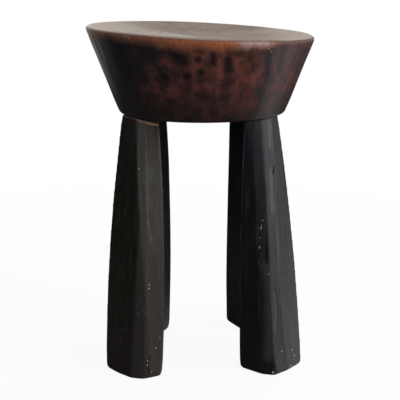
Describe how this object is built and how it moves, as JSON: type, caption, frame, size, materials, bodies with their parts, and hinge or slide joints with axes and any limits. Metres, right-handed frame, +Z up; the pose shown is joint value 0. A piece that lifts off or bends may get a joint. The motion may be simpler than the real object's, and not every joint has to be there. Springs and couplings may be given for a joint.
{
  "type": "stool",
  "caption": "Carved hardwood stool: a round dished seat with a deep tapered side on stout, splayed, hewn legs socketed into its underside.",
  "frame": {"origin": "on the floor, under the middle of the seat's rim", "axes": "+Z up, +X to the right and +Y to the back as seen from the pictured front"},
  "size_m": [0.2905, 0.2904, 0.4327],
  "materials": {
    "seat_wood": "dark red-brown, rubbed to a soft gloss",
    "leg_wood": "blackened, satin, worn on the edges",
    "wedge_wood": "raw split wood, hidden"
  },
  "bodies": {
    "root": {"seat": "seat_wood", "leg_front_left": "leg_wood", "leg_front_right": "leg_wood", "leg_rear_left": "leg_wood", "leg_rear_right": "leg_wood", "wedge_front_left": "wedge_wood", "wedge_front_right": "wedge_wood", "wedge_rear_left": "wedge_wood", "wedge_rear_right": "wedge_wood"}
  },
  "joints": []
}
